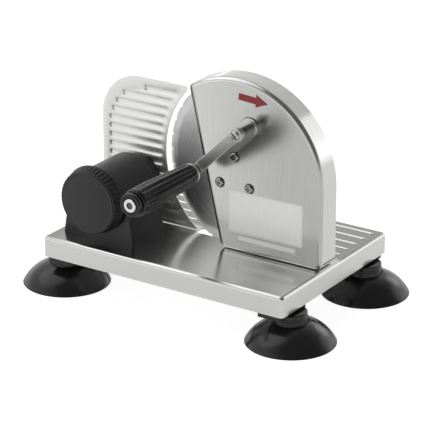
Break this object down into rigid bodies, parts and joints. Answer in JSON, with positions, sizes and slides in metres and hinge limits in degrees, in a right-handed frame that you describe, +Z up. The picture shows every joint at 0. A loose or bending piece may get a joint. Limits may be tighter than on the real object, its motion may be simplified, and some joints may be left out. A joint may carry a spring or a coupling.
{
  "type": "hand crank bread slicer",
  "caption": "Hand cranked slicer with a wavy edged blade behind a round steel housing, a ribbed gauge plate set by a ridged knob, and a steel tray on suction cups.",
  "frame": {"origin": "on the table, under the middle of the whole outline", "axes": "+X along the long side of the tray, to the right as seen from the crank; +Y from the crank side to the food side; +Z up"},
  "size_m": [0.3156, 0.2428, 0.2082],
  "materials": {
    "cup_rubber": "smooth, slightly glossy",
    "block_plastic": "moulded, fine grain",
    "tray_steel": "brushed along its length",
    "housing_steel": "brushed upright",
    "plate_steel": "satin",
    "blade_steel": "polished, with a ground edge",
    "arm_steel": "polished",
    "shaft_steel": "turned and ground",
    "screw_steel": "zinc plated",
    "bush_bronze": "sintered, dull",
    "collar_steel": "turned",
    "gear_nylon": "moulded nylon",
    "grip_plastic": "moulded, fluted",
    "ferrule_aluminium": "turned",
    "adjuster_plastic": "moulded, fine grain",
    "knob_plastic": "moulded, ridged rim",
    "cap_plastic": "moulded, fine grain",
    "cam_plastic": "moulded acetal",
    "silver_film": "printed film, left blank",
    "white_film": "printed film, left blank",
    "red_film": "printed film"
  },
  "bodies": {
    "base": {"suction_cup_front_left": "cup_rubber", "foot_block_front_left": "block_plastic", "suction_cup_front_right": "cup_rubber", "foot_block_front_right": "block_plastic", "suction_cup_rear_left": "cup_rubber", "foot_block_rear_left": "block_plastic", "suction_cup_rear_right": "cup_rubber", "foot_block_rear_right": "block_plastic", "base_tray": "tray_steel", "cup_studs": "screw_steel", "cup_nuts": "screw_steel", "block_nuts": "screw_steel", "housing_shell": "housing_steel", "housing_cover": "housing_steel", "cover_screws": "screw_steel", "housing_screws": "screw_steel", "blade_axle": "shaft_steel", "axle_screws": "screw_steel", "hub_washer": "screw_steel", "hub_screw": "screw_steel", "front_bush": "collar_steel", "bush_nut": "screw_steel", "rear_bush": "bush_bronze", "adjuster_body": "adjuster_plastic", "adjuster_screws": "screw_steel", "wave_washer": "screw_steel", "rating_label": "silver_film", "strip_label": "silver_film", "rim_label": "white_film", "arrow_sticker": "red_film"},
    "blade_unit": {"blade_gear": "gear_nylon", "blade_bush": "bush_bronze", "blade": "blade_steel", "blade_cap": "cap_plastic", "blade_screws": "screw_steel"},
    "crank": {"crank_shaft": "shaft_steel", "crank_gear": "gear_nylon", "shaft_clip": "screw_steel", "crank_arm": "arm_steel", "arm_screw": "screw_steel", "handle_spindle": "shaft_steel", "handle_screw": "screw_steel"},
    "grip": {"handle_grip": "grip_plastic", "handle_ferrule": "ferrule_aluminium", "handle_end_cap": "grip_plastic"},
    "knob": {"adjuster_knob": "knob_plastic", "knob_cap": "cap_plastic", "knob_screw": "screw_steel", "cam_drum": "cam_plastic"},
    "gauge": {"gauge_plate": "plate_steel", "gauge_carrier": "adjuster_plastic", "cam_pin": "shaft_steel", "carrier_screws": "screw_steel"}
  },
  "joints": [
    {"name": "crank_turn", "type": "hinge", "parent": "base", "child": "crank", "pos_m": [0.0515, -0.00525, 0.16701], "axis": [0, 1, 0], "continuous": true},
    {"name": "blade_spin", "type": "hinge", "parent": "base", "child": "blade_unit", "pos_m": [0.036, 0.02135, 0.12], "axis": [0, 1, 0], "continuous": true},
    {"name": "grip_spin", "type": "hinge", "parent": "crank", "child": "grip", "pos_m": [0.00741, -0.07315, 0.12413], "axis": [0, 1, 0], "continuous": true},
    {"name": "knob_turn", "type": "hinge", "parent": "base", "child": "knob", "pos_m": [-0.0794, -0.05815, 0.0893], "axis": [0, 1, 0], "range_deg": [-60, 240]},
    {"name": "plate_slide", "type": "slide", "parent": "base", "child": "gauge", "axis": [0, -1, 0], "range_m": [-0.003, 0.012]}
  ],
  "couplings": [
    {"joint": "blade_spin", "follows": "crank_turn", "ratio": -2},
    {"joint": "knob_turn", "follows": "plate_slide", "rad_per_m": 349.07}
  ]
}
